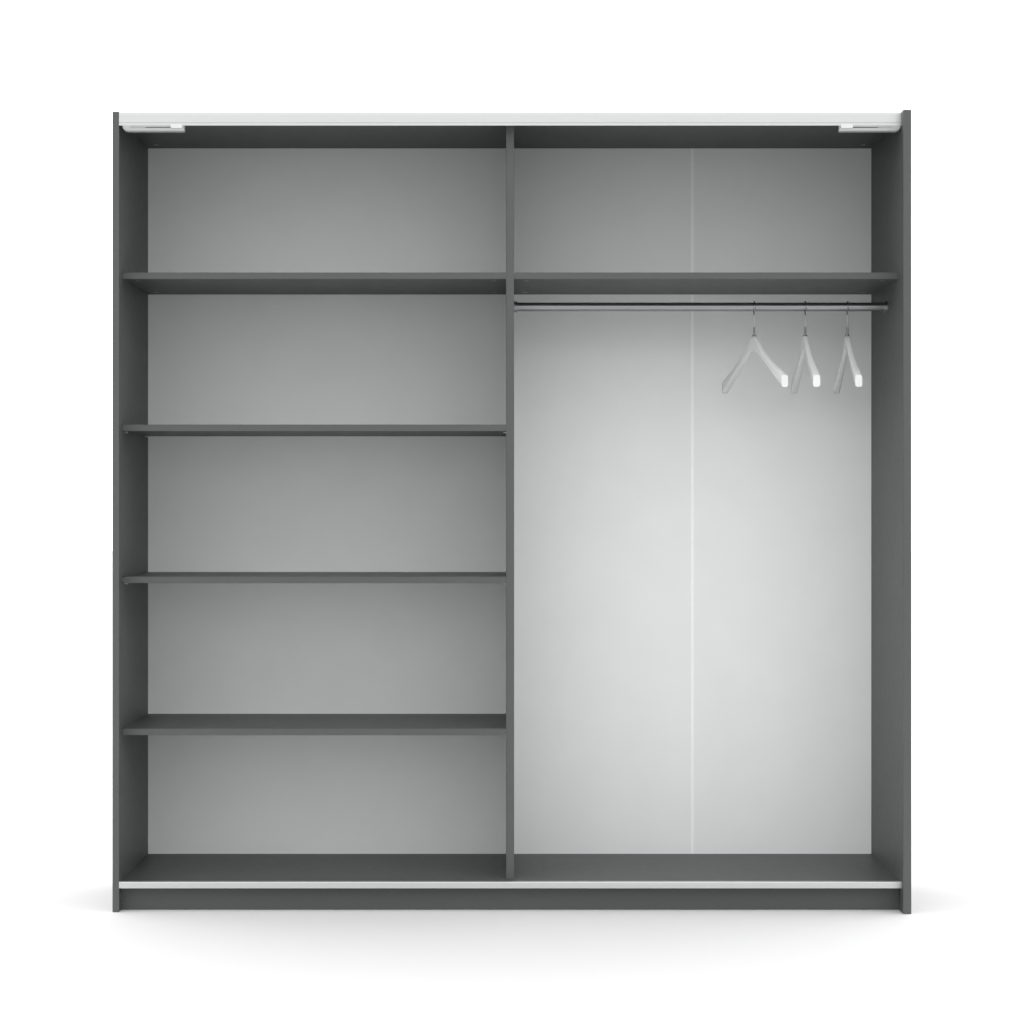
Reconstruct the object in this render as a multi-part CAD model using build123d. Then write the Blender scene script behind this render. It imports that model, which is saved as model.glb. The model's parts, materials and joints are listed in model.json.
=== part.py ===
from build123d import *

import os

# Wardrobe carcass for sliding doors, in millimetres. +X to the right, +Y to the back, +Z up.
# The origin is the middle of the footprint, on the floor.

# ---- driving dimensions ---------------------------------------------------------------------
WIDTH = 2190
HEIGHT = 2200
DEPTH = 612
BOARD = 18
HEAVY_BOARD = 22
BACK_BOARD = 3
EDGE_BAND = 1
PLINTH_HEIGHT = 65
PLINTH_SETBACK = 43
RIGHT_SIDE_OVERHANG = 34
INSIDE_SETBACK = 60
CEILING_HEIGHT = 2180
FIRST_SHELF_TOP = 499.4
SHELF_PITCH = 421.4
SHELF_COUNT = 4
SHELF_PLAY = 0.5
REAR_PLINTH_INSET = 20
BACK_INSET = 2

# ---- planes that the boards share -----------------------------------------------------------
LEFT = -WIDTH / 2
RIGHT = WIDTH / 2
INNER_LEFT = LEFT + BOARD
INNER_RIGHT = RIGHT - HEAVY_BOARD
MIDDLE = (INNER_LEFT + INNER_RIGHT) / 2
PARTITION_LEFT = MIDDLE - HEAVY_BOARD / 2
PARTITION_RIGHT = MIDDLE + HEAVY_BOARD / 2
REAR = DEPTH / 2
PROFILE_FLANGE = 1
BACK_REAR = REAR - PROFILE_FLANGE
BACK_FACE = BACK_REAR - BACK_BOARD
FRONT = -DEPTH / 2 + RIGHT_SIDE_OVERHANG
INSIDE_FRONT = FRONT + INSIDE_SETBACK
FLOOR_TOP = PLINTH_HEIGHT + BOARD
TOP_PANEL_TOP = CEILING_HEIGHT + BOARD
SHELF_TOPS = [FIRST_SHELF_TOP + SHELF_PITCH * n for n in range(SHELF_COUNT)]
FIXED_SHELF_TOP = SHELF_TOPS[-1]
LEFT_BAY = (INNER_LEFT, PARTITION_LEFT)
RIGHT_BAY = (PARTITION_RIGHT, INNER_RIGHT)
FRONT_PLINTH_Y = (FRONT + PLINTH_SETBACK, FRONT + PLINTH_SETBACK + BOARD)
REAR_PLINTH_Y = (BACK_FACE - REAR_PLINTH_INSET - BOARD, BACK_FACE - REAR_PLINTH_INSET)
STRETCHER_XS = [MIDDLE, (INNER_LEFT + MIDDLE) / 2, (INNER_RIGHT + MIDDLE) / 2]

# ---- back panels and the strip between two of them ------------------------------------------
BACK_BOTTOM = PLINTH_HEIGHT + BACK_INSET
BACK_TOP = TOP_PANEL_TOP - BACK_INSET
JOINT_X = (PARTITION_RIGHT + INNER_RIGHT) / 2
JOINT_FLANGE = 7.6
JOINT_WEB = 1.2
BACK_SPANS = {
    "back_panel_left": (LEFT + BACK_INSET, MIDDLE - 0.25),
    "back_panel_centre": (MIDDLE + 0.25, JOINT_X - JOINT_WEB / 2),
    "back_panel_right": (JOINT_X + JOINT_WEB / 2, RIGHT - BACK_INSET),
}

# ---- top track and bottom guide -------------------------------------------------------------
FASCIA_HEIGHT = 35
FASCIA_TOP = 2197
FASCIA_BOTTOM = FASCIA_TOP - FASCIA_HEIGHT
FASCIA_WALL = 2.5
TRACK_WEB = 2.5
TRACK_DEPTH = 58
TRACK_RIB = 2
MIDDLE_RIB_AT = 28
MIDDLE_RIB_DROP = 9.5
REAR_RIB_DROP = 6
WEB_BOTTOM = CEILING_HEIGHT - TRACK_WEB
GUIDE_DEPTH = 10
GUIDE_TOP = FLOOR_TOP + 1
GUIDE_WALL = 2
GUIDE_SPINE = 3
GUIDE_SPINE_Z = PLINTH_HEIGHT + BOARD / 2

# ---- fittings -------------------------------------------------------------------------------
FIT = 0.05
SPARE = 0.5
DOWEL_R = 4
DOWEL_LENGTH = 30
DOWEL_IN_FACE = 9
DOWEL_YS = [-100, 180]
PLINTH_DOWEL_IN_PLINTH = 20
PLINTH_DOWEL_INSET = 90
CAM_R = 7.5
CAM_THICKNESS = 12.5
CAM_FROM_END = 34
CAM_YS = [-150, 230]
CAM_KEYWAY = 12
CAM_CROSS = (7, 1.4, 1.6)
BOLT_THREAD_R = 2.5
BOLT_THREAD = 10
BOLT_SHANK_R = 3
BOLT_NECK_R = 2
BOLT_NECK = 3
BOLT_HEAD_R = 3.5
BOLT_HEAD = 3
PIN_R = 2.5
PIN_REACH = 8
PIN_YS = [-160, 240]
SCREW_R = 1.75
SCREW_HEAD_R = 3.5
SCREW_HEAD = 1.8
SCREW_IN_TOP = 14
SCREW_CROSS = (3.4, 0.8, 0.8)
TRACK_SCREW_COUNT = 8
NAIL_R = 0.9
NAIL_HEAD_R = 2
NAIL_HEAD = 0.8
NAIL_LENGTH = 20
NAIL_STEP = 178

# ---- hanging rod and hangers ----------------------------------------------------------------
ROD_R = 12.5
ROD_WALL = 1.2
ROD_Y = FRONT + 260
ROD_Z = 1684
SOCKET_R = 16
SOCKET_LENGTH = 10
SOCKET_BASE = 2
SOCKET_SCREW_DEPTH = 9
SOCKET_SCREW_FROM_AXIS = 7
WIRE_R = 1.9
HOOK_GAP = 0.3
HOOK_NECK = 11
HOOK_LEAD = Vector(0, 0.6, -8)
HOOK_BEND = (15, 13)
STEM_BOTTOM = 1590
STEM_SPARE = 8
COLLAR_GAP = 0.4
# Each step of the collar: (radius, top above the hanger).
COLLAR_FOOT = (6, 4)
COLLAR_NECK = (2.9, 27)
# Each hanger: (place along the rod, turn about its hook's stem in degrees).
HANGER_PLACES = [(694, 18.5), (839.5, 2), (959.5, 1)]
HANGER_HALF = 208
HANGER_APEX = 1600
HANGER_TIP_BOTTOM = 1446
# The arm's edges as (distance out, height), then its plan as (distance out, half thickness).
HANGER_TOP_LINE = [(9, HANGER_APEX), (42, 1572), (77, 1543), (127, 1518), (186, 1492), (HANGER_HALF, 1480)]
HANGER_UNDER_LINE = [(HANGER_HALF, HANGER_TIP_BOTTOM), (186, 1455), (85, 1513), (12, 1561)]
HANGER_PLAN = [(105, 7), (186, 10), (HANGER_HALF, 10)]

# ---- soft-close units: distances in from the left side panel, mirrored on the right ---------
RIGHT_UNIT_NEARER = 8.5
UNIT_START = 9
UNIT_END = 179
UNIT_DEPTH = 24
UNIT_BOTTOM = 2146
UNIT_WALL = 3
UNIT_FRONT_TOP = 2161.7
UNIT_GROOVE_Z = (2155, 2158.5)
UNIT_GROOVE_DEPTH = 1.5
UNIT_BLOCK_END = 34
UNIT_CORNER_R = 15
UNIT_NOSE_R = 4.5
# The inner screw's pad: (start, distance behind the front, underside).
UNIT_PAD = (155, 15, 2174.5)
CATCH_CLEARANCE = 0.5
CATCH_START = 140.5
CATCH_END = UNIT_END - UNIT_WALL - CATCH_CLEARANCE
CATCH_TRAVEL = 72
BLADE_SPAN = (146, 170)
BLADE_Z = (2156.3, 2157.4)
BLADE_PLAY = 0.3
PLATE_SPAN = (142, 174)
PLATE_Z = (2154.5, 2166)
# The plate's two faces ahead of the front.
PLATE_PROUD = (0.4, 2)
LUG_LENGTH = 6
LUG_HALF = 4
LUG_ABOVE_ROD = 3.5
DAMPER_BACK = 9.5
DAMPER_Z = 2168.5
DAMPER_R = 5
DAMPER_BORE_R = 3.6
DAMPER_START = 12
DAMPER_END = 95
DAMPER_CAP = 2
DAMPER_GUIDE = 3
DAMPER_ROD_R = 1.5
PISTON_R = 3.3
PISTON_LENGTH = 4
PISTON_FROM_GUIDE = 0.5
SPRING_BACK = 15.5
SPRING_Z = 2156
SPRING_R = 3
SPRING_WIRE_R = 0.4
SPRING_TURNS = 22
# Each screw: (distance in, distance behind the front, height of the head's seat).
UNIT_SCREWS = [(22, 19.5, 2172), (168, 19, 2174.5)]


# ---- helpers --------------------------------------------------------------------------------
def block(x, y, z):
    """A box from three (low, high) pairs."""
    size = [high - low for low, high in (x, y, z)]
    centre = [(high + low) / 2 for low, high in (x, y, z)]
    return Pos(*centre) * Box(*size)


def rod(radius, start, end):
    """A round bar between two points."""
    axis = Vector(*end) - Vector(*start)
    plane = Plane(origin=start, z_dir=axis)
    return plane * Cylinder(radius, axis.length, align=(Align.CENTER, Align.CENTER, Align.MIN))


def section_along_x(points, x_start, x_end):
    """A (y, z) outline drawn out along X."""
    outline = make_face(Polyline(*[(x_start, y, z) for y, z in points], close=True))
    return extrude(outline, amount=x_end - x_start, dir=(1, 0, 0))


def toward(side, distance):
    """The X of a point of a soft-close unit; the right unit is closer to its side panel."""
    return INNER_LEFT + distance if side == "left" else INNER_RIGHT - distance + RIGHT_UNIT_NEARER


def span(side, start, end):
    """A (low, high) pair in X between two places along a soft-close unit."""
    ends = sorted((toward(side, start), toward(side, end)))
    return ends[0], ends[1]


def save(name, pieces):
    """Writes one node: a single solid, or a group of separate solids."""
    shape = pieces if not isinstance(pieces, list) else Compound(children=pieces)
    export_step(shape, f"parts/{name}.step")


# ---- joints between boards: where a board's end meets a face ---------------------------------
# Each is (end point in the joint plane, direction from the face into the butting board).
INTO_RIGHT = Vector(1, 0, 0)
INTO_LEFT = Vector(-1, 0, 0)
INTO_UP = Vector(0, 0, 1)
INTO_DOWN = Vector(0, 0, -1)
BOARD_END_PLANES = [
    (INNER_LEFT, INTO_RIGHT, [PLINTH_HEIGHT + BOARD / 2, CEILING_HEIGHT + BOARD / 2]),
    (INNER_RIGHT, INTO_LEFT, [PLINTH_HEIGHT + BOARD / 2, CEILING_HEIGHT + BOARD / 2]),
    (INNER_LEFT, INTO_RIGHT, [FIXED_SHELF_TOP - BOARD / 2]),
    (PARTITION_LEFT, INTO_LEFT, [FIXED_SHELF_TOP - BOARD / 2]),
    (PARTITION_RIGHT, INTO_RIGHT, [FIXED_SHELF_TOP - BOARD / 2]),
    (INNER_RIGHT, INTO_LEFT, [FIXED_SHELF_TOP - BOARD / 2]),
]


def joint_places(ys):
    """Every board joint at the given depths."""
    places = []
    for x, direction, heights in BOARD_END_PLANES:
        places += [(Vector(x, y, z), direction) for z in heights for y in ys]
    places += [(Vector(MIDDLE, y, FLOOR_TOP), INTO_UP) for y in ys]
    places += [(Vector(MIDDLE, y, CEILING_HEIGHT), INTO_DOWN) for y in ys]
    return places


CAM_PLACES = joint_places(CAM_YS)
DOWEL_PLACES = joint_places(DOWEL_YS)


def cam_push(direction):
    """The direction in which a cam is pushed into its board: up from below, or in from the right."""
    return INTO_UP if direction.Z == 0 else INTO_LEFT


def cam_axis_ends(point, direction):
    """The two ends of a cam's axis: its open face, and its inner face."""
    push = cam_push(direction)
    half_board = BOARD / 2 if push is INTO_UP else HEAVY_BOARD / 2
    mouth = point + direction * CAM_FROM_END - push * half_board
    return mouth, mouth + push * CAM_THICKNESS


def cam_bolt(point, direction):
    """A threaded foot in the face, a shank, and a round head that the cam draws in."""
    head_start = point + direction * (CAM_FROM_END - BOLT_HEAD / 2)
    neck_start = head_start - direction * BOLT_NECK
    foot = rod(BOLT_THREAD_R, point - direction * BOLT_THREAD, point)
    shank = rod(BOLT_SHANK_R, point, neck_start)
    neck = rod(BOLT_NECK_R, neck_start, head_start)
    return foot + shank + neck + rod(BOLT_HEAD_R, head_start, head_start + direction * BOLT_HEAD)


def cam_lock(point, direction):
    """A round cam with a keyway for the bolt's head and a cross recess for the driver."""
    mouth, inner = cam_axis_ends(point, direction)
    push = cam_push(direction)
    centre = point + direction * CAM_FROM_END
    keyway = rod(BOLT_HEAD_R + SPARE, centre - direction * CAM_KEYWAY, centre + direction * BOLT_HEAD)
    recess = Plane(origin=mouth, z_dir=push, x_dir=direction.cross(push))
    return rod(CAM_R, mouth, inner) - keyway - recess * cross_recess(*CAM_CROSS)


def cross_recess(length, width, depth):
    """Two crossed slots about the origin, as deep above it as they stand below."""
    return Box(length, width, 2 * depth) + Box(width, length, 2 * depth)


def bored(board, places, cams):
    """Bores for bolts, cams and dowels in a board; each place only marks a board that it reaches."""
    box = board.bounding_box()
    for point, direction in places:
        beside = box.min.X - 1 <= point.X <= box.max.X + 1
        level = box.min.Z - 1 <= point.Z <= box.max.Z + 1
        if not (beside and level):
            continue
        if cams:
            mouth, inner = cam_axis_ends(point, direction)
            push = cam_push(direction)
            board -= rod(BOLT_THREAD_R + FIT, point - direction * (BOLT_THREAD + SPARE), point)
            board -= rod(BOLT_HEAD_R + FIT, point, point + direction * (CAM_FROM_END + BOLT_HEAD))
            board -= rod(CAM_R + FIT, mouth - push, inner + push * SPARE)
        else:
            board -= rod(DOWEL_R + FIT, *dowel_ends(point, direction, SPARE))
    return board


def dowel_ends(point, direction, spare):
    """The ends of a dowel, less than half the partition's thickness into the face that it comes out of."""
    start = point - direction * (DOWEL_IN_FACE + spare)
    return start, start + direction * (DOWEL_LENGTH + 2 * spare)


def dowel(start, end):
    """A beech dowel with tapered tips."""
    bar = rod(DOWEL_R, start, end)
    return chamfer(bar.edges().filter_by(GeomType.CIRCLE), 1)


# ---- boards ---------------------------------------------------------------------------------
def pin_places():
    """The shelf pins: (point on the face, direction out of the face) for the loose shelves."""
    places = []
    for top in SHELF_TOPS[:-1]:
        z = top - BOARD - PIN_R
        places += [(Vector(INNER_LEFT, y, z), INTO_RIGHT) for y in PIN_YS]
        places += [(Vector(PARTITION_LEFT, y, z), INTO_LEFT) for y in PIN_YS]
    return places


def pin_bored(board):
    """Blind holes for the shelf pins."""
    box = board.bounding_box()
    for point, direction in pin_places():
        if box.min.X - 1 <= point.X <= box.max.X + 1:
            board -= rod(PIN_R + FIT, point - direction * (PIN_REACH + SPARE), point + direction)
    return board


def fitted(board):
    """A board with the bores of every joint that it takes part in."""
    return bored(bored(board, CAM_PLACES, True), DOWEL_PLACES, False)


def side_panel(x_range, front):
    return block(x_range, (front + EDGE_BAND, BACK_FACE), (0, HEIGHT))


def left_side_panel():
    return pin_bored(fitted(side_panel((LEFT, INNER_LEFT), FRONT)))


def right_side_panel():
    return socket_bored(fitted(side_panel((INNER_RIGHT, RIGHT), -DEPTH / 2)), INNER_RIGHT, INTO_LEFT)


def centre_partition():
    x_range = (PARTITION_LEFT, PARTITION_RIGHT)
    board = block(x_range, (INSIDE_FRONT + EDGE_BAND, BACK_FACE), (FLOOR_TOP, CEILING_HEIGHT))
    return socket_bored(pin_bored(fitted(board)), PARTITION_RIGHT, INTO_RIGHT)


def top_panel():
    y_range = (FRONT + FASCIA_WALL, BACK_FACE)
    board = fitted(block((INNER_LEFT, INNER_RIGHT), y_range, (CEILING_HEIGHT, TOP_PANEL_TOP)))
    for x, y, z in track_screw_places() + unit_screw_places():
        board -= rod(SCREW_R + FIT, (x, y, CEILING_HEIGHT - 1), (x, y, CEILING_HEIGHT + SCREW_IN_TOP + SPARE))
    return board


def bottom_panel():
    y_range = (FRONT + GUIDE_DEPTH, BACK_FACE)
    board = fitted(block((INNER_LEFT, INNER_RIGHT), y_range, (PLINTH_HEIGHT, FLOOR_TOP)))
    groove_y = (FRONT + GUIDE_DEPTH, FRONT + 2 * GUIDE_DEPTH + SPARE)
    groove_z = (GUIDE_SPINE_Z - GUIDE_SPINE / 2, GUIDE_SPINE_Z + GUIDE_SPINE / 2)
    board -= block((INNER_LEFT, INNER_RIGHT), groove_y, groove_z)
    for x, y in plinth_dowel_places():
        board -= rod(DOWEL_R + FIT, *plinth_dowel_ends(x, y, SPARE))
    return board


def plinth_board(x_range, y_range):
    board = block(x_range, y_range, (0, PLINTH_HEIGHT))
    for x, y in plinth_dowel_places():
        if x_range[0] <= x <= x_range[1] and y_range[0] <= y <= y_range[1]:
            board -= rod(DOWEL_R + FIT, *plinth_dowel_ends(x, y, SPARE))
    return board


def plinth_dowel_places():
    """Upright dowels between the plinth and the bottom panel."""
    inset = PLINTH_DOWEL_INSET
    xs = [INNER_LEFT + inset, MIDDLE - inset, MIDDLE + inset, INNER_RIGHT - inset]
    ys = [sum(FRONT_PLINTH_Y) / 2, sum(REAR_PLINTH_Y) / 2]
    return [(x, y) for x in xs for y in ys]


def plinth_dowel_ends(x, y, spare):
    bottom = PLINTH_HEIGHT - PLINTH_DOWEL_IN_PLINTH
    return (x, y, bottom - spare), (x, y, bottom + DOWEL_LENGTH + spare)


def stretcher(x):
    """A short board that carries the middle of the bottom panel between the two plinth boards."""
    return block((x - BOARD / 2, x + BOARD / 2), (FRONT_PLINTH_Y[1], REAR_PLINTH_Y[0]), (0, PLINTH_HEIGHT))


def shelf(x_range, top, fixed):
    y_range = (INSIDE_FRONT + EDGE_BAND, BACK_FACE - 1)
    board = block((x_range[0] + SHELF_PLAY, x_range[1] - SHELF_PLAY), y_range, (top - BOARD, top))
    return fitted(board) if fixed else board


def edge_band(x_range, front, z_range):
    """A glued edging strip with its two long outer edges eased."""
    strip = block(x_range, (front, front + EDGE_BAND), z_range)
    outer = strip.faces().sort_by(Axis.Y)[0]
    long_axis = Axis.Z if z_range[1] - z_range[0] > x_range[1] - x_range[0] else Axis.X
    return chamfer(outer.edges().filter_by(long_axis), 0.6)


def front_edge_bands():
    bands = [
        edge_band((LEFT, INNER_LEFT), FRONT, (0, HEIGHT)),
        edge_band((INNER_RIGHT, RIGHT), -DEPTH / 2, (0, HEIGHT)),
        edge_band((PARTITION_LEFT, PARTITION_RIGHT), INSIDE_FRONT, (FLOOR_TOP, CEILING_HEIGHT)),
    ]
    shelves = [(LEFT_BAY, top) for top in SHELF_TOPS] + [(RIGHT_BAY, FIXED_SHELF_TOP)]
    for bay, top in shelves:
        bands.append(edge_band((bay[0] + SHELF_PLAY, bay[1] - SHELF_PLAY), INSIDE_FRONT, (top - BOARD, top)))
    return bands


# ---- back -----------------------------------------------------------------------------------
def nail_places():
    """Nail positions round the edges of the three back panels, as (x, z)."""
    upright_xs = [LEFT + BOARD / 2, MIDDLE - 5, MIDDLE + 5, RIGHT - HEAVY_BOARD / 2]
    upright_count = int((BACK_TOP - BACK_BOTTOM) // NAIL_STEP)
    places = []
    for x in upright_xs:
        places += [(x, BACK_BOTTOM + NAIL_STEP * (n + 0.5)) for n in range(upright_count)]
    across_count = int((INNER_RIGHT - INNER_LEFT) // NAIL_STEP)
    for n in range(across_count):
        x = INNER_LEFT + NAIL_STEP * (n + 0.5)
        if abs(x - JOINT_X) > JOINT_FLANGE and abs(x - MIDDLE) > HEAVY_BOARD:
            places += [(x, PLINTH_HEIGHT + BOARD / 2), (x, CEILING_HEIGHT + BOARD / 2)]
    return places


def nail(x, z):
    head = rod(NAIL_HEAD_R, (x, BACK_REAR, z), (x, BACK_REAR - NAIL_HEAD, z))
    shank = rod(NAIL_R, (x, BACK_REAR - NAIL_HEAD, z), (x, BACK_REAR - NAIL_LENGTH, z))
    return head + shank


def nail_holes(board):
    """Takes the nails out of a board, one bore for each that reaches it."""
    box = board.bounding_box()
    for x, z in nail_places():
        if box.min.X < x < box.max.X and box.min.Z < z < box.max.Z:
            board -= rod(NAIL_R + FIT, (x, BACK_REAR + 1, z), (x, BACK_REAR - NAIL_LENGTH - SPARE, z))
            board -= rod(NAIL_HEAD_R + FIT, (x, BACK_REAR + 1, z), (x, BACK_REAR - NAIL_HEAD, z))
    return board


def back_panel(x_range):
    return nail_holes(block(x_range, (BACK_FACE, BACK_REAR), (BACK_BOTTOM, BACK_TOP)))


def back_joint_profile():
    """An H-shaped strip that holds the edges of two back panels."""
    z_range = (FLOOR_TOP + SPARE, CEILING_HEIGHT - SPARE)
    flange_x = (JOINT_X - JOINT_FLANGE / 2, JOINT_X + JOINT_FLANGE / 2)
    web = block((JOINT_X - JOINT_WEB / 2, JOINT_X + JOINT_WEB / 2), (BACK_FACE, BACK_REAR), z_range)
    front = block(flange_x, (BACK_FACE - PROFILE_FLANGE, BACK_FACE), z_range)
    rear = block(flange_x, (BACK_REAR, REAR), z_range)
    shelf_notch_z = (FIXED_SHELF_TOP - BOARD - SPARE, FIXED_SHELF_TOP + SPARE)
    notch = block((flange_x[0] - 1, flange_x[1] + 1), (BACK_FACE - 2, BACK_FACE), shelf_notch_z)
    return web + front + rear - notch


# ---- running gear for the doors ---------------------------------------------------------------
def top_track():
    """Aluminium section: a fascia, a web under the top panel and ribs that part two door lanes."""
    lip = 2
    chamfer_drop = 5
    chamfer_in = 0.3
    groove_z = FASCIA_BOTTOM + 6.5
    rear = TRACK_DEPTH
    outline = [
        (0, FASCIA_BOTTOM),
        (0, groove_z),
        (0.8, groove_z + 0.5),
        (0.8, groove_z + 1.5),
        (0, groove_z + 2),
        (0, FASCIA_TOP - chamfer_drop),
        (chamfer_in, FASCIA_TOP),
        (FASCIA_WALL, FASCIA_TOP),
        (FASCIA_WALL, CEILING_HEIGHT),
        (rear, CEILING_HEIGHT),
        (rear, WEB_BOTTOM - REAR_RIB_DROP),
        (rear - TRACK_RIB, WEB_BOTTOM - REAR_RIB_DROP),
        (rear - TRACK_RIB, WEB_BOTTOM),
        (MIDDLE_RIB_AT + TRACK_RIB, WEB_BOTTOM),
        (MIDDLE_RIB_AT + TRACK_RIB, WEB_BOTTOM - MIDDLE_RIB_DROP),
        (MIDDLE_RIB_AT, WEB_BOTTOM - MIDDLE_RIB_DROP),
        (MIDDLE_RIB_AT, WEB_BOTTOM),
        (FASCIA_WALL, WEB_BOTTOM),
        (FASCIA_WALL, FASCIA_BOTTOM + lip),
        (FASCIA_WALL + 1, FASCIA_BOTTOM + lip),
        (FASCIA_WALL + 1, FASCIA_BOTTOM),
    ]
    section = [(FRONT + back, z) for back, z in outline]
    track = section_along_x(section, INNER_LEFT, INNER_RIGHT)
    for x, y, z in track_screw_places() + unit_screw_places():
        track -= rod(SCREW_R + FIT, (x, y, WEB_BOTTOM - 1), (x, y, CEILING_HEIGHT + 1))
    return track


def bottom_guide_rail():
    """Aluminium nosing, open below for the doors' guides, with a spine pressed into the board."""
    nose = 2.5
    wall = GUIDE_WALL
    deep = GUIDE_DEPTH
    half_spine = GUIDE_SPINE / 2
    low = PLINTH_HEIGHT + 0.3
    outline = [
        (0.6, low),
        (0, low + 1),
        (0, GUIDE_TOP - nose),
        (nose * 0.3, GUIDE_TOP - nose * 0.3),
        (nose, GUIDE_TOP),
        (deep + 4, GUIDE_TOP),
        (deep + 4, FLOOR_TOP),
        (deep, FLOOR_TOP),
        (deep, GUIDE_SPINE_Z + half_spine),
        (2 * deep, GUIDE_SPINE_Z + half_spine),
        (2 * deep, GUIDE_SPINE_Z - half_spine),
        (deep, GUIDE_SPINE_Z - half_spine),
        (deep, low),
        (deep - wall, low),
        (deep - wall, FLOOR_TOP - wall),
        (wall, FLOOR_TOP - wall),
        (wall, low),
    ]
    section = [(FRONT + back, z) for back, z in outline]
    return section_along_x(section, INNER_LEFT, INNER_RIGHT)


def track_screw_places():
    """Screws up through the web, in the rear lane."""
    lane = FRONT + (MIDDLE_RIB_AT + TRACK_DEPTH) / 2
    step = (INNER_RIGHT - INNER_LEFT) / TRACK_SCREW_COUNT
    return [(INNER_LEFT + step * (n + 0.5), lane, WEB_BOTTOM) for n in range(TRACK_SCREW_COUNT)]


def unit_screw_places():
    """Screws that hold the soft-close units."""
    return [(toward(side, u), FRONT + d, z) for side in ("left", "right") for u, d, z in UNIT_SCREWS]


def screw_up(x, y, seat_z):
    """A pan-head screw driven up into the top panel, with a cross recess."""
    tip_z = CEILING_HEIGHT + SCREW_IN_TOP
    head = rod(SCREW_HEAD_R, (x, y, seat_z - SCREW_HEAD), (x, y, seat_z))
    head = fillet(head.edges().filter_by(GeomType.CIRCLE).sort_by(Axis.Z)[0], 0.9)
    recess = Pos(x, y, seat_z - SCREW_HEAD) * cross_recess(*SCREW_CROSS)
    shank = rod(SCREW_R, (x, y, seat_z), (x, y, tip_z - 2))
    tip = Pos(x, y, tip_z - 1) * Cone(SCREW_R, 0.3, 2)
    return head - recess + shank + tip


def soft_close_housing(side):
    """A tray under the fascia: a grooved and slotted front, a tall rear wall and a solid outer end."""
    whole = span(side, UNIT_START, UNIT_END)
    outer = span(side, UNIT_START, UNIT_BLOCK_END)
    inner_end = span(side, UNIT_END - UNIT_WALL, UNIT_END)
    deep = (FRONT, FRONT + UNIT_DEPTH)
    behind = (FRONT + FASCIA_WALL + 1.5, FRONT + UNIT_DEPTH)
    rear_wall = (FRONT + UNIT_DEPTH - UNIT_WALL, FRONT + UNIT_DEPTH)
    pad_start, pad_back, pad_bottom = UNIT_PAD
    tray = block(whole, deep, (UNIT_BOTTOM, UNIT_BOTTOM + UNIT_WALL))
    tray += block(whole, (FRONT, FRONT + UNIT_WALL), (UNIT_BOTTOM, UNIT_FRONT_TOP))
    tray += block(whole, rear_wall, (UNIT_BOTTOM, WEB_BOTTOM))
    tray += block(inner_end, deep, (UNIT_BOTTOM, UNIT_FRONT_TOP))
    tray += block(outer, deep, (UNIT_BOTTOM, FASCIA_BOTTOM))
    tray += block(outer, behind, (UNIT_BOTTOM, WEB_BOTTOM))
    tray += block(span(side, pad_start, UNIT_END), (FRONT + pad_back, deep[1]), (pad_bottom, WEB_BOTTOM))
    corner = tray.edges().filter_by(Axis.Y).filter_by_position(Axis.Z, UNIT_BOTTOM, UNIT_BOTTOM)
    corner = corner.sort_by(Axis.X)
    tray = fillet(corner[0] if side == "left" else corner[-1], UNIT_CORNER_R)
    nose = tray.edges().filter_by(Axis.X).filter_by_position(Axis.Z, UNIT_BOTTOM, UNIT_BOTTOM)
    tray = fillet(nose.sort_by(Axis.Y)[0], UNIT_NOSE_R)
    groove_x = span(side, UNIT_BLOCK_END, UNIT_END - UNIT_GROOVE_DEPTH)
    tray -= block(groove_x, (FRONT - 1, FRONT + UNIT_GROOVE_DEPTH), UNIT_GROOVE_Z)
    slot_x = span(side, BLADE_SPAN[0] - CATCH_TRAVEL - 1, BLADE_SPAN[1] + 1)
    slot_z = (BLADE_Z[0] - BLADE_PLAY, BLADE_Z[1] + BLADE_PLAY)
    tray -= block(slot_x, (FRONT - 1, FRONT + UNIT_WALL + 1), slot_z)
    bore_start = toward(side, DAMPER_START - SPARE)
    bore_end = toward(side, UNIT_BLOCK_END + 1)
    y = FRONT + DAMPER_BACK
    tray -= rod(DAMPER_R + FIT, (bore_start, y, DAMPER_Z), (bore_end, y, DAMPER_Z))
    for u, d, seat in UNIT_SCREWS:
        x = toward(side, u)
        tray -= rod(SCREW_R + FIT, (x, FRONT + d, seat - 1), (x, FRONT + d, WEB_BOTTOM + 1))
        tray -= rod(SCREW_HEAD_R + 0.2, (x, FRONT + d, UNIT_BOTTOM - 1), (x, FRONT + d, seat))
    return tray


def soft_close_catch(side):
    """The slider that a door pushes: a block in the tray, a blade through its slot, a plate and a lug."""
    low = UNIT_BOTTOM + UNIT_WALL + CATCH_CLEARANCE
    top = FASCIA_BOTTOM - CATCH_CLEARANCE
    inside = (FRONT + UNIT_WALL + CATCH_CLEARANCE, FRONT + UNIT_DEPTH - UNIT_WALL - CATCH_CLEARANCE)
    lug_y = (FRONT + DAMPER_BACK - LUG_HALF, FRONT + DAMPER_BACK + LUG_HALF)
    plate_y = (FRONT - PLATE_PROUD[1], FRONT - PLATE_PROUD[0])
    plate = block(span(side, *PLATE_SPAN), plate_y, PLATE_Z)
    plate = fillet(plate.edges().filter_by(Axis.Y), 1.5)
    catch = block(span(side, CATCH_START, CATCH_END), inside, (low, top))
    catch += block(span(side, *BLADE_SPAN), (plate_y[1], inside[0]), BLADE_Z)
    catch += block(span(side, CATCH_END - LUG_LENGTH, CATCH_END), lug_y, (low, DAMPER_Z + LUG_ABOVE_ROD))
    y = FRONT + DAMPER_BACK
    start = toward(side, CATCH_END + 1)
    end = toward(side, CATCH_END - LUG_LENGTH - 1)
    return catch + plate - rod(DAMPER_ROD_R + FIT, (start, y, DAMPER_Z), (end, y, DAMPER_Z))


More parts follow.
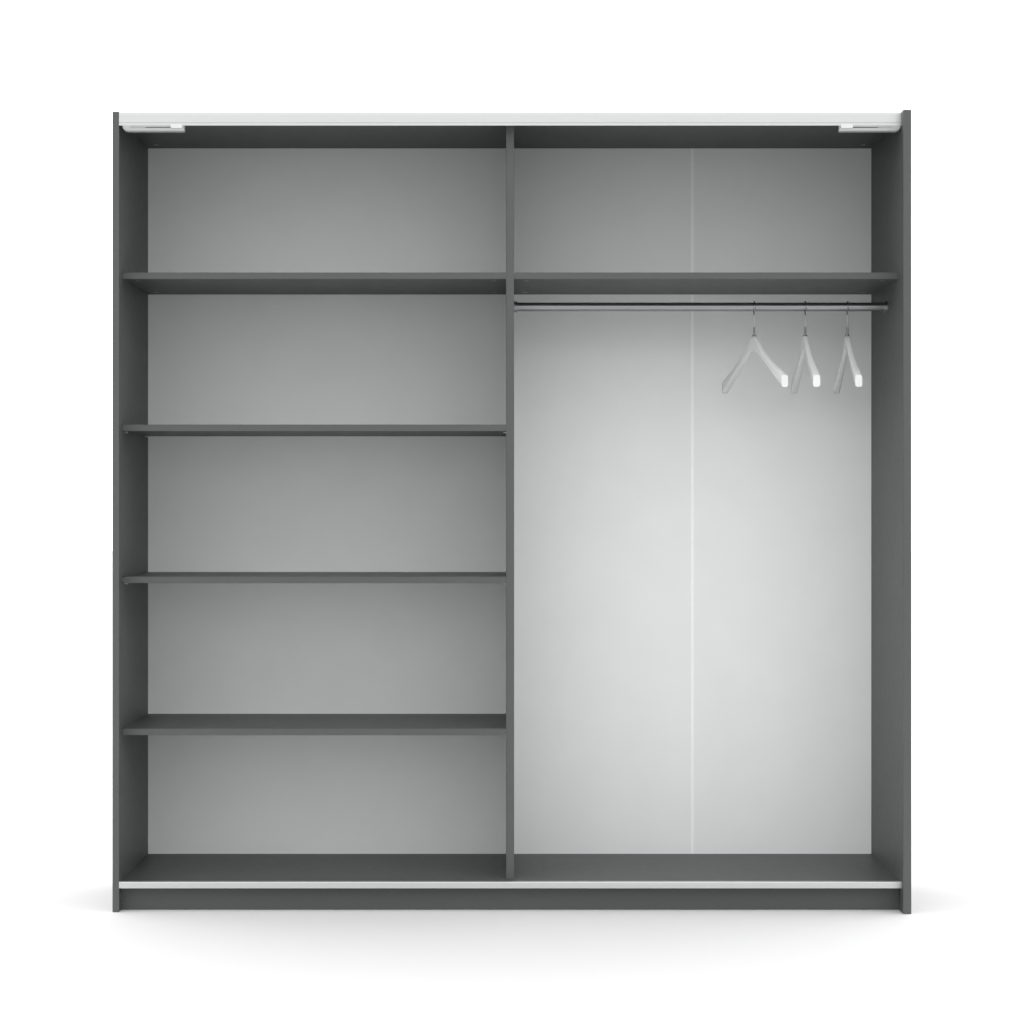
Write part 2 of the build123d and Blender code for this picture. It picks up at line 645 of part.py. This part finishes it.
def damper_cylinder(side):
    """A closed tube with a guide for the rod at its open end."""
    y = FRONT + DAMPER_BACK

    def point(u):
        return toward(side, u), y, DAMPER_Z

    tube = rod(DAMPER_R, point(DAMPER_START), point(DAMPER_END))
    guide = DAMPER_END - DAMPER_GUIDE
    tube -= rod(DAMPER_BORE_R, point(DAMPER_START + DAMPER_CAP), point(guide))
    return tube - rod(DAMPER_ROD_R + 0.3, point(guide - 1), point(DAMPER_END + 1))


def damper_rod(side):
    """The rod between the lug and the piston."""
    y = FRONT + DAMPER_BACK

    def point(u):
        return toward(side, u), y, DAMPER_Z

    piston_end = DAMPER_END - DAMPER_GUIDE - PISTON_FROM_GUIDE
    bar = rod(DAMPER_ROD_R, point(piston_end - PISTON_LENGTH), point(CATCH_END))
    return bar + rod(PISTON_R, point(piston_end - PISTON_LENGTH), point(piston_end))


def catch_spring(side):
    """The tension spring that draws the catch to the side panel, shown stretched."""
    start = UNIT_BLOCK_END + 0.3
    length = CATCH_START - UNIT_BLOCK_END - 0.6
    coil = Helix(length / SPRING_TURNS, length, SPRING_R, center=(0, 0, 0), direction=(0, 0, 1))
    profile = Plane(origin=coil @ 0, z_dir=coil % 0) * Circle(SPRING_WIRE_R)
    spring = sweep(profile, path=coil, is_frenet=True)
    turn = 90 if side == "left" else -90
    return Pos(toward(side, start), FRONT + SPRING_BACK, SPRING_Z) * Rot(0, turn, 0) * spring


# ---- hanging rod ------------------------------------------------------------------------------
def hanging_rod():
    start = PARTITION_RIGHT + SOCKET_BASE + SPARE
    end = INNER_RIGHT - SOCKET_BASE - SPARE
    tube = rod(ROD_R, (start, ROD_Y, ROD_Z), (end, ROD_Y, ROD_Z))
    return tube - rod(ROD_R - ROD_WALL, (start - 1, ROD_Y, ROD_Z), (end + 1, ROD_Y, ROD_Z))


def rod_socket(face_x, out):
    """A cup screwed to a board, which the end of the rod sits in."""
    centre = Vector(face_x, ROD_Y, ROD_Z)
    cup = rod(SOCKET_R, centre, centre + out * SOCKET_LENGTH)
    outer = cup.edges().filter_by(GeomType.CIRCLE).sort_by(Axis.X)
    cup = fillet(outer[-1] if out.X > 0 else outer[0], 1.5)
    cup -= rod(ROD_R + FIT, centre + out * SOCKET_BASE, centre + out * (SOCKET_LENGTH + 1))
    for place in socket_screw_points(face_x):
        cup -= rod(SCREW_R + FIT, place - out, place + out * (SOCKET_BASE + 1))
    return cup


def socket_screw_points(face_x):
    """Two screws inside the cup, above and below the rod's axis."""
    offsets = (-SOCKET_SCREW_FROM_AXIS, SOCKET_SCREW_FROM_AXIS)
    return [Vector(face_x, ROD_Y, ROD_Z + offset) for offset in offsets]


def socket_bored(board, face_x, out):
    for place in socket_screw_points(face_x):
        board -= rod(SCREW_R + FIT, place + out, place - out * (SOCKET_SCREW_DEPTH + SPARE))
    return board


def socket_screw(place, out):
    seat = place + out * SOCKET_BASE
    head = rod(SCREW_HEAD_R, seat, seat + out * SCREW_HEAD)
    return head + rod(SCREW_R, seat, place - out * SOCKET_SCREW_DEPTH)


# ---- hangers ----------------------------------------------------------------------------------
def hook_path(x):
    """The wire's line: over the rod, then down the neck to the stem under the rod's axis."""
    reach = ROD_R + HOOK_GAP + WIRE_R
    centre = Vector(x, ROD_Y, ROD_Z + HOOK_GAP / 2)
    tip = centre + Vector(0, -reach, 0) + HOOK_LEAD
    shoulder = centre + Vector(0, reach, 0)
    bend = Vector(x, ROD_Y, ROD_Z - reach - HOOK_NECK)
    over = Plane(origin=centre, x_dir=(0, 1, 0), z_dir=(1, 0, 0)) * CenterArc((0, 0, 0), reach, 0, 180)
    lead = Line(over @ 1, tip)
    down = Bezier(shoulder, shoulder - Vector(0, 0, HOOK_BEND[0]), bend + Vector(0, 0, HOOK_BEND[1]), bend)
    stem = Line(bend, (x, ROD_Y, STEM_BOTTOM))
    return lead, over, down, stem


def hanger_hook(x):
    """A bent wire hook with a rounded tip, on the rod and in the hanger's collar."""
    lead, over, down, stem = hook_path(x)
    path = Wire([lead, over, down, stem])
    start = stem @ 1
    profile = Plane(origin=start, z_dir=(0, 0, 1)) * Circle(WIRE_R)
    hook = sweep(profile, path=path)
    ball = Pos(*(lead @ 1)) * Sphere(WIRE_R + 0.5)
    return hook + ball


def hanger_collar(x):
    """A small turned ferrule on the stem, above the wood."""
    foot_r, foot_top = COLLAR_FOOT
    neck_r, neck_top = COLLAR_NECK
    collar = rod(foot_r, (x, ROD_Y, HANGER_APEX + COLLAR_GAP), (x, ROD_Y, HANGER_APEX + foot_top))
    collar += rod(neck_r, (x, ROD_Y, HANGER_APEX + foot_top), (x, ROD_Y, HANGER_APEX + neck_top))
    return collar - rod(WIRE_R + 0.02, (x, ROD_Y, HANGER_APEX), (x, ROD_Y, HANGER_APEX + neck_top + 1))


def hanger_body(x, angle):
    """A contoured hanger: two slim arms, steep then shallow, that widen to square-cut shoulder ends."""
    near_side = HANGER_TOP_LINE + HANGER_UNDER_LINE
    far_side = [(-out, z) for out, z in reversed(near_side)]
    outline = make_face(Polyline(*[(0, out, z) for out, z in near_side + far_side], close=True))
    arms = extrude(outline, amount=HANGER_PLAN[-1][1], dir=(1, 0, 0), both=True)
    edge = [(half, out) for out, half in HANGER_PLAN]
    edge += [(-half, out) for half, out in reversed(edge)]
    plan = [(half, -out) for half, out in reversed(edge)] + edge
    footprint = make_face(Polyline(*[(across, out, HANGER_APEX) for across, out in plan], close=True))
    body = arms & extrude(footprint, amount=HANGER_APEX - HANGER_TIP_BOTTOM, dir=(0, 0, -1))
    body -= rod(WIRE_R + HOOK_GAP, (0, 0, STEM_BOTTOM - STEM_SPARE), (0, 0, HANGER_APEX + 1))
    return Pos(x, ROD_Y, 0) * Rot(0, 0, angle) * body


# ---- write every node -------------------------------------------------------------------------
os.makedirs("parts", exist_ok=True)

save("left_side_panel", nail_holes(left_side_panel()))
save("right_side_panel", nail_holes(right_side_panel()))
save("centre_partition", nail_holes(centre_partition()))
save("top_panel", nail_holes(top_panel()))
save("bottom_panel", nail_holes(bottom_panel()))
save("front_plinth", plinth_board((INNER_LEFT, INNER_RIGHT), FRONT_PLINTH_Y))
save("rear_plinth", plinth_board((INNER_LEFT, INNER_RIGHT), REAR_PLINTH_Y))
save("plinth_stretchers", [stretcher(x) for x in STRETCHER_XS])
save("front_edge_bands", front_edge_bands())

for number, shelf_top in enumerate(SHELF_TOPS, start=1):
    save(f"left_shelf_{number}", shelf(LEFT_BAY, shelf_top, shelf_top == FIXED_SHELF_TOP))
save("right_shelf", shelf(RIGHT_BAY, FIXED_SHELF_TOP, True))

for name, x_range in BACK_SPANS.items():
    save(name, back_panel(x_range))
save("back_joint_profile", back_joint_profile())
save("back_panel_nails", [nail(x, z) for x, z in nail_places()])

save("cam_bolts", [cam_bolt(point, direction) for point, direction in CAM_PLACES])
save("cam_locks", [cam_lock(point, direction) for point, direction in CAM_PLACES])
dowel_places = [dowel_ends(point, direction, 0) for point, direction in DOWEL_PLACES]
dowel_places += [plinth_dowel_ends(x, y, 0) for x, y in plinth_dowel_places()]
save("wood_dowels", [dowel(start, end) for start, end in dowel_places])
save("shelf_pins", [rod(PIN_R, p - d * PIN_REACH, p + d * PIN_REACH) for p, d in pin_places()])

save("top_track", top_track())
save("bottom_guide_rail", bottom_guide_rail())
save("top_track_screws", [screw_up(x, y, z) for x, y, z in track_screw_places()])
save("soft_close_screws", [screw_up(x, y, z) for x, y, z in unit_screw_places()])

for side in ("left", "right"):
    save(f"soft_close_housing_{side}", soft_close_housing(side))
    save(f"soft_close_catch_{side}", soft_close_catch(side))
    save(f"damper_cylinder_{side}", damper_cylinder(side))
    save(f"damper_rod_{side}", damper_rod(side))
    save(f"catch_spring_{side}", catch_spring(side))

save("hanging_rod", hanging_rod())
save("rod_socket_left", rod_socket(PARTITION_RIGHT, INTO_RIGHT))
save("rod_socket_right", rod_socket(INNER_RIGHT, INTO_LEFT))
rod_ends = [(PARTITION_RIGHT, INTO_RIGHT), (INNER_RIGHT, INTO_LEFT)]
save("rod_socket_screws", [socket_screw(p, out) for x, out in rod_ends for p in socket_screw_points(x)])

for number, (x, angle) in enumerate(HANGER_PLACES, start=1):
    save(f"hanger_hook_{number}", hanger_hook(x))
    save(f"hanger_collar_{number}", hanger_collar(x))
    save(f"hanger_body_{number}", hanger_body(x, angle))
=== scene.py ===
"""The looks of a wide sliding-door wardrobe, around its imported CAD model. Lengths are in metres."""

import json
import math

import bmesh
import bpy
from mathutils import Matrix, Vector


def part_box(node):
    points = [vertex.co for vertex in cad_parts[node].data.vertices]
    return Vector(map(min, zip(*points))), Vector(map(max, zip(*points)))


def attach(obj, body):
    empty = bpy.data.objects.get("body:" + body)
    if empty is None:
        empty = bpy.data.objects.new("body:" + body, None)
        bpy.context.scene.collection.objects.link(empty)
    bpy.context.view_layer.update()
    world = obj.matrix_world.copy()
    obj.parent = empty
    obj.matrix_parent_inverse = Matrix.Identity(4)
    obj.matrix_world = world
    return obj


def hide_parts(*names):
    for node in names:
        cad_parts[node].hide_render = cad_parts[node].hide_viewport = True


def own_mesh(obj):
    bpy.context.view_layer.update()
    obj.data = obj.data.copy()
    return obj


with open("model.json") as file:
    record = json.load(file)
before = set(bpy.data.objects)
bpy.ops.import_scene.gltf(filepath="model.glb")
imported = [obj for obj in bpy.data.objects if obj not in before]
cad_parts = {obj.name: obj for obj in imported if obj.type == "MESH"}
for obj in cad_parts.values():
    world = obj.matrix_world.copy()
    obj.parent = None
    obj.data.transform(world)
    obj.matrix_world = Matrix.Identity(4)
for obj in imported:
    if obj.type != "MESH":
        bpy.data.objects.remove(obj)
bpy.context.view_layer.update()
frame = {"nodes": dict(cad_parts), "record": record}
nodes = frame["nodes"]

# ---- places read from the frame -----------------------------------------------------------------
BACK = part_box("back_panel_left")
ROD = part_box("hanging_rod")
PLINTH_SETBACK = 0.043
FRONT_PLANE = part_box("front_plinth")[0].y - PLINTH_SETBACK
HANGERS = (1, 2, 3)

# ---- camera and light ---------------------------------------------------------------------------
SENSOR = 0.036
CAMERA_DISTANCE = 7.02
CAMERA_X = -0.0215
CAMERA_Z = 1.108
FOCAL = 0.08981
SHIFT = (0.0087, -0.0029)
# Strength of the sky ahead, at the horizon and high up, and of the sky behind the wardrobe.
SKY_AHEAD = (1.5, 2.05)
SKY_BEHIND = 2.4
# Where the direction's height or its Y passes from one strength to the next.
SKY_RISE = (0.0, 0.8)
SKY_TURN = (-0.25, 0.25)
SKY_OPENING = (0.8, 0.97)
# The floor's grey by the wardrobe and further ahead, and the Y range over which it changes.
FLOOR = 0.8
FLOOR_AHEAD = 0.4
FLOOR_FADE = (-5.0, -2.2)
FLOOR_REACH = 60.0


# ---- node helpers -------------------------------------------------------------------------------
class Finish:
    """A Principled material whose colour, roughness and bump come from procedural nodes."""

    def __init__(self, name, **constants):
        self.material = bpy.data.materials.new(name)
        self.material.use_nodes = True
        self.tree = self.material.node_tree
        self.shader = self.tree.nodes["Principled BSDF"]
        for socket, value in constants.items():
            self.shader.inputs[socket.replace("_", " ")].default_value = value
        self.place = self.node("ShaderNodeTexCoord").outputs["Object"]

    def node(self, kind, settings=None, **inputs):
        made = self.tree.nodes.new(kind)
        for key, value in (settings or {}).items():
            setattr(made, key, value)
        for socket, value in inputs.items():
            self.put(made.inputs[socket.replace("_", " ")], value)
        return made

    def put(self, socket, value):
        if isinstance(value, bpy.types.NodeSocket):
            self.tree.links.new(value, socket)
        else:
            socket.default_value = value

    def stretched(self, scale):
        """Object coordinates multiplied by a scale per axis."""
        return self.node("ShaderNodeMapping", Vector=self.place, Scale=scale).outputs["Vector"]

    def noise(self, scale, detail=2.0, roughness=0.5, stretch=(1, 1, 1)):
        place = self.stretched(stretch)
        made = self.node("ShaderNodeTexNoise", Vector=place, Scale=scale, Detail=detail, Roughness=roughness)
        return made.outputs["Fac"]

    def spread(self, value, low, high, source=(0.3, 0.7)):
        """A value moved from the source range to the range low to high."""
        ends = {"From_Min": source[0], "From_Max": source[1], "To_Min": low, "To_Max": high}
        return self.node("ShaderNodeMapRange", Value=value, **ends).outputs["Result"]

    def mixed(self, factor, first, second):
        """A colour between two others."""
        made = self.node("ShaderNodeMix", {"data_type": "RGBA"})
        self.put(made.inputs["Factor"], factor)
        self.put(made.inputs[6], first)
        self.put(made.inputs[7], second)
        return made.outputs[2]

    def math(self, operation, first, second=0.0):
        made = self.node("ShaderNodeMath", {"operation": operation})
        self.put(made.inputs[0], first)
        self.put(made.inputs[1], second)
        return made.outputs[0]

    def color(self, value):
        self.put(self.shader.inputs["Base Color"], value)

    def rough(self, value):
        self.put(self.shader.inputs["Roughness"], value)

    def bump(self, height, distance, strength=1.0):
        made = self.node("ShaderNodeBump", Height=height, Distance=distance, Strength=strength)
        self.put(self.shader.inputs["Normal"], made.outputs["Normal"])

    def apart(self, axis):
        """One coordinate of the place."""
        return self.node("ShaderNodeSeparateXYZ", Vector=self.place).outputs[axis]


def tint(color, factor):
    """A colour made lighter or darker, with full alpha."""
    return (*(min(1.0, c * factor) for c in color[:3]), 1.0)


# ---- materials ----------------------------------------------------------------------------------
GRAPHITE = (0.0695, 0.0728, 0.072)
BACK_PAINT = (0.822, 0.843, 0.84)
BACK_FIBRE = (0.25, 0.15, 0.085)
FIBRE_SKIN = 0.0008


def graphite_board(name, color, roughness):
    """Matt melamine foil: a fine pressed texture, and very faint cloudiness."""
    finish = Finish(name, Specular_IOR_Level=0.35)
    cloud = finish.noise(2.6, 3.0)
    fleck = finish.noise(620.0, 2.0)
    base = finish.mixed(finish.spread(cloud, 0, 1), tint(color, 0.97), tint(color, 1.03))
    finish.color(finish.mixed(finish.spread(fleck, 0, 1), base, tint(color, 1.05)))
    finish.rough(finish.spread(finish.noise(38.0, 3.0), roughness - 0.015, roughness + 0.02))
    finish.bump(finish.noise(1400.0, 3.0, 0.6), 0.00012, 0.6)
    return finish.material


def back_board():
    """Thin hardboard: pale paint on the inside, raw brown fibre on the outside."""
    finish = Finish("painted_hardboard", Specular_IOR_Level=0.25)
    mottle = finish.noise(7.0, 4.0)
    painted = finish.mixed(finish.spread(mottle, 0, 1), tint(BACK_PAINT, 0.985), tint(BACK_PAINT, 1.01))
    strands = finish.spread(finish.noise(90.0, 5.0, 0.7, stretch=(1.0, 1.0, 0.35)), 0, 1, (0.35, 0.65))
    raw = finish.mixed(strands, tint(BACK_FIBRE, 0.7), tint(BACK_FIBRE, 1.25))
    outside = finish.math("GREATER_THAN", finish.apart("Y"), BACK[1].y - FIBRE_SKIN)
    finish.color(finish.mixed(outside, painted, raw))
    finish.rough(finish.spread(finish.noise(60.0, 2.0), 0.5, 0.6))
    finish.bump(finish.noise(700.0, 3.0, 0.6), 0.0001, 0.4)
    return finish.material


def drawn_aluminium(name, color, roughness):
    """Anodised section with faint die lines along its length."""
    finish = Finish(name, Metallic=1.0)
    lines = finish.noise(1.0, 2.0, 0.6, stretch=(1.5, 2600.0, 2600.0))
    finish.color(finish.mixed(finish.spread(lines, 0, 1), tint(color, 0.97), tint(color, 1.02)))
    streaks = finish.noise(1.0, 2.0, stretch=(3.0, 900.0, 900.0))
    finish.rough(finish.spread(streaks, roughness - 0.05, roughness + 0.06))
    finish.bump(lines, 0.00004, 0.35)
    return finish.material


def moulded_plastic(name, color, roughness):
    """Injection-moulded plastic with a spark-eroded grain."""
    finish = Finish(name, Specular_IOR_Level=0.5)
    cloud = finish.spread(finish.noise(45.0, 2.0), 0, 1)
    finish.color(finish.mixed(cloud, tint(color, 0.98), tint(color, 1.02)))
    finish.rough(finish.spread(finish.noise(160.0, 2.0), roughness - 0.04, roughness + 0.05))
    finish.bump(finish.noise(2600.0, 2.0), 0.00005, 0.5)
    return finish.material


def plated_steel(name, color, roughness):
    """Zinc plating: bright metal with a fine crystalline mottle."""
    finish = Finish(name, Metallic=1.0)
    spangle = finish.node("ShaderNodeTexVoronoi", Vector=finish.place, Scale=900.0).outputs["Distance"]
    finish.color(finish.mixed(finish.spread(spangle, 0, 1, (0.0, 0.8)), tint(color, 0.88), tint(color, 1.08)))
    finish.rough(finish.spread(finish.noise(300.0, 3.0), roughness - 0.06, roughness + 0.08))
    finish.bump(finish.noise(1500.0, 2.0), 0.00003, 0.4)
    return finish.material


def polished_chrome(name, color, roughness):
    """Chrome with faint smears of handling."""
    finish = Finish(name, Metallic=1.0)
    smear = finish.noise(24.0, 4.0, 0.6, stretch=(0.4, 1.0, 1.0))
    finish.color(finish.mixed(finish.spread(smear, 0, 1), tint(color, 0.97), tint(color, 1.02)))
    finish.rough(finish.spread(smear, roughness, roughness + 0.07))
    finish.bump(finish.noise(1.0, 2.0, stretch=(6.0, 1800.0, 1800.0)), 0.00001, 0.3)
    return finish.material


def raw_beech():
    """Unfinished dowel wood with its grain along X."""
    finish = Finish("raw_beech", Specular_IOR_Level=0.3)
    grain = finish.noise(1.0, 4.0, 0.6, stretch=(60.0, 900.0, 900.0))
    finish.color(finish.mixed(finish.spread(grain, 0, 1), (0.42, 0.25, 0.12, 1), (0.66, 0.46, 0.27, 1)))
    finish.rough(finish.spread(grain, 0.55, 0.72))
    finish.bump(grain, 0.0001, 0.5)
    return finish.material


def white_lacquer():
    """White lacquer over wood: the grain shows only as faint shallow lines."""
    color = (0.72, 0.73, 0.725)
    finish = Finish("white_lacquer", Specular_IOR_Level=0.5, Coat_Weight=0.25, Coat_Roughness=0.18)
    grain = finish.noise(1.0, 4.0, 0.6, stretch=(1300.0, 22.0, 260.0))
    finish.color(finish.mixed(finish.spread(grain, 0, 1), tint(color, 0.975), tint(color, 1.01)))
    finish.rough(finish.spread(finish.noise(70.0, 2.0), 0.3, 0.4))
    finish.bump(grain, 0.00006, 0.4)
    return finish.material


def paint(names, material):
    """Gives CAD nodes a material in place of their own."""
    for name in names:
        mesh = nodes[name].data
        mesh.materials.clear()
        mesh.materials.append(material)


def finish_cad_nodes():
    """Gives every CAD node the finish of its material slot, and returns the finishes by slot."""
    slots = {}
    for entry in frame["record"]["subparts"]:
        slots.setdefault(entry["material_slot"], []).append(entry["node"])
    finishes = {
        "graphite_board": graphite_board("graphite_melamine", GRAPHITE, 0.5),
        "graphite_edge": graphite_board("graphite_edging", tint(GRAPHITE, 1.08), 0.42),
        "back_board": back_board(),
        "white_strip": moulded_plastic("white_extrusion", (0.94, 0.955, 0.955), 0.45),
        "white_plastic": moulded_plastic("white_moulding", (0.64, 0.65, 0.65), 0.4),
        "grey_plastic": moulded_plastic("grey_moulding", (0.4, 0.405, 0.405), 0.45),
        "socket_metal": plated_steel("socket_nickel", (0.34, 0.35, 0.355), 0.32),
        "collar_metal": plated_steel("collar_plate", (0.2, 0.2, 0.205), 0.3),
        "track_aluminium": drawn_aluminium("track_anodised", (0.545, 0.552, 0.551), 0.42),
        "guide_aluminium": drawn_aluminium("guide_anodised", (0.545, 0.552, 0.552), 0.4),
        "zinc_steel": plated_steel("zinc_plate", (0.6, 0.61, 0.62), 0.32),
        "zinc_casting": plated_steel("zinc_casting", (0.48, 0.49, 0.5), 0.45),
        "beech": raw_beech(),
        "rod_chrome": polished_chrome("rod_metal", (0.33, 0.335, 0.34), 0.28),
        "hook_steel": polished_chrome("hook_chrome", (0.4, 0.4, 0.405), 0.2),
        "white_lacquered_wood": white_lacquer(),
    }
    for slot, members in slots.items():
        paint(members, finishes[slot])
    return finishes


def squash_springs():
    """Gives each catch spring a mesh of its own."""
    for side in ("left", "right"):
        spring = nodes[f"catch_spring_{side}"]
        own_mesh(spring)


# ---- hangers ------------------------------------------------------------------------------------
ARM_REACH = 0.2075
ARM_STATIONS = 40
ROUND_POINTS = 24
SIDE_FULLNESS = 0.45
TOP_FULLNESS = 0.3
END_HALF_THICKNESS = 0.0098
# Knots of an arm's edges and thickness: (place from 0 in the middle to 1 at its end, value).
ARM_TOP = (
    (0, 1.6), (0.06, 1.5985), (0.2, 1.572), (0.37, 1.545),
    (0.55, 1.524), (0.7, 1.508), (0.85, 1.495), (1, 1.4785),
)
ARM_UNDER = ((0, 1.5618), (0.07, 1.559), (0.25, 1.5395), (0.4, 1.522), (0.7, 1.4845), (0.9, 1.459), (1, 1.4465))
ARM_HALF_THICKNESS = ((0, 0.0069), (0.35, 0.0072), (0.65, 0.0088), (0.8, 0.0096), (1, 0.0097))


def eased(knots, t):
    """A smooth line through (place, value) knots, read at t."""
    slopes = []
    for n in range(len(knots)):
        before, after = knots[max(0, n - 1)], knots[min(len(knots) - 1, n + 1)]
        slopes.append((after[1] - before[1]) / (after[0] - before[0]))
    n = max(k for k in range(len(knots) - 1) if k == 0 or knots[k][0] <= t)
    (start, low), (end, high) = knots[n], knots[n + 1]
    step = end - start
    rise = high - low
    u = (t - start) / step
    bend = u * (1 - u) * ((1 - u) * (slopes[n] * step - rise) + u * (rise - slopes[n + 1] * step))
    return low + rise * u + bend


def hanger_section(t):
    """The middle height, half height and half thickness of an arm at t."""
    top = eased(ARM_TOP, t)
    low = eased(ARM_UNDER, t)
    half_thick = eased(ARM_HALF_THICKNESS, t)
    return (top + low) / 2, (top - low) / 2, half_thick


def hanger_piece(number, material):
    """A contoured hanger lofted through rounded sections from end to end."""
    low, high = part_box(f"hanger_body_{number}")
    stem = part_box(f"hanger_hook_{number}")
    centre = Vector(((stem[0].x + stem[1].x) / 2, (ROD[0].y + ROD[1].y) / 2, 0))
    angle = math.asin(min(1.0, ((high.x - low.x) / 2 - END_HALF_THICKNESS) / ARM_REACH))
    mesh = bpy.data.meshes.new(f"hanger_wood_{number}")
    work = bmesh.new()
    rings = []
    for station in range(-ARM_STATIONS, ARM_STATIONS + 1):
        t = station / ARM_STATIONS
        middle, half_height, half_thick = hanger_section(abs(t))
        rings.append([])
        for n in range(ROUND_POINTS):
            turn = 2 * math.pi * n / ROUND_POINTS
            across = math.copysign(abs(math.cos(turn)) ** SIDE_FULLNESS, math.cos(turn)) * half_thick
            up = math.copysign(abs(math.sin(turn)) ** TOP_FULLNESS, math.sin(turn)) * half_height
            rings[-1].append(work.verts.new((across, t * ARM_REACH, middle + up)))
    for first, second in zip(rings, rings[1:]):
        for n in range(ROUND_POINTS):
            after = (n + 1) % ROUND_POINTS
            work.faces.new((first[n], first[after], second[after], second[n]))
    work.faces.new(list(reversed(rings[0])))
    work.faces.new(rings[-1])
    bmesh.ops.recalc_face_normals(work, faces=work.faces)
    for face in work.faces:
        face.smooth = len(face.verts) == 4
    work.to_mesh(mesh)
    work.free()
    mesh.transform(Matrix.Translation(centre) @ Matrix.Rotation(angle, 4, "Z"))
    mesh.materials.append(material)
    piece = bpy.data.objects.new(f"hanger_wood_{number}", mesh)
    bpy.context.scene.collection.objects.link(piece)
    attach(piece, f"hanger_{number}")
    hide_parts(f"hanger_body_{number}")
    return piece


# ---- stage --------------------------------------------------------------------------------------
def stage_floor():
    """A pale studio floor that runs out to the horizon."""
    mesh = bpy.data.meshes.new("floor")
    corners = [(x * FLOOR_REACH, y * FLOOR_REACH, 0) for x, y in ((-1, -1), (1, -1), (1, 1), (-1, 1))]
    mesh.from_pydata(corners, [], [(0, 1, 2, 3)])
    floor = bpy.data.objects.new("floor", mesh)
    bpy.context.scene.collection.objects.link(floor)
    finish = Finish("floor_paint", Specular_IOR_Level=0.1)
    shade = finish.spread(finish.apart("Y"), FLOOR_AHEAD, FLOOR, FLOOR_FADE)
    finish.color(finish.mixed(shade, (0, 0, 0, 1), (1, 1, 1, 1)))
    finish.rough(0.9)
    mesh.materials.append(finish.material)


def stage_light():
    """A soft white dome: even behind the wardrobe, rising with height ahead of it, and dark overhead."""
    world = bpy.data.worlds.new("studio")
    bpy.context.scene.world = world
    world.use_nodes = True
    tree = world.node_tree

    def ramp(value, source, low, high):
        """A smooth step from low to high as the value crosses the source range."""
        made = tree.nodes.new("ShaderNodeMapRange")
        made.interpolation_type = "SMOOTHSTEP"
        ends = {"From Min": source[0], "From Max": source[1], "To Min": low, "To Max": high}
        for socket, given in {"Value": value, **ends}.items():
            if isinstance(given, bpy.types.NodeSocket):
                tree.links.new(given, made.inputs[socket])
            else:
                made.inputs[socket].default_value = given
        return made.outputs["Result"]

    toward = tree.nodes.new("ShaderNodeSeparateXYZ")
    tree.links.new(tree.nodes.new("ShaderNodeTexCoord").outputs["Generated"], toward.inputs[0])
    ahead = ramp(toward.outputs["Z"], SKY_RISE, *SKY_AHEAD)
    around = ramp(toward.outputs["Y"], SKY_TURN, ahead, SKY_BEHIND)
    strength = ramp(toward.outputs["Z"], SKY_OPENING, around, 0.0)
    background = tree.nodes["Background"]
    background.inputs["Color"].default_value = (1, 1, 1, 1)
    tree.links.new(strength, background.inputs["Strength"])


def stage_camera():
    """A long lens level with the middle of the wardrobe, straight ahead of it."""
    lens = bpy.data.cameras.new("camera")
    lens.sensor_width = SENSOR * 1000
    lens.lens = FOCAL * 1000
    lens.shift_x, lens.shift_y = SHIFT
    camera = bpy.data.objects.new("camera", lens)
    camera.location = (CAMERA_X, FRONT_PLANE - CAMERA_DISTANCE, CAMERA_Z)
    camera.rotation_euler = (math.pi / 2, 0, 0)
    bpy.context.scene.collection.objects.link(camera)
    bpy.context.scene.camera = camera
    bpy.context.scene.view_settings.view_transform = "Standard"


stage_camera()
stage_floor()
stage_light()
finishes = finish_cad_nodes()
for number in HANGERS:
    hanger_piece(number, finishes["white_lacquered_wood"])
squash_springs()
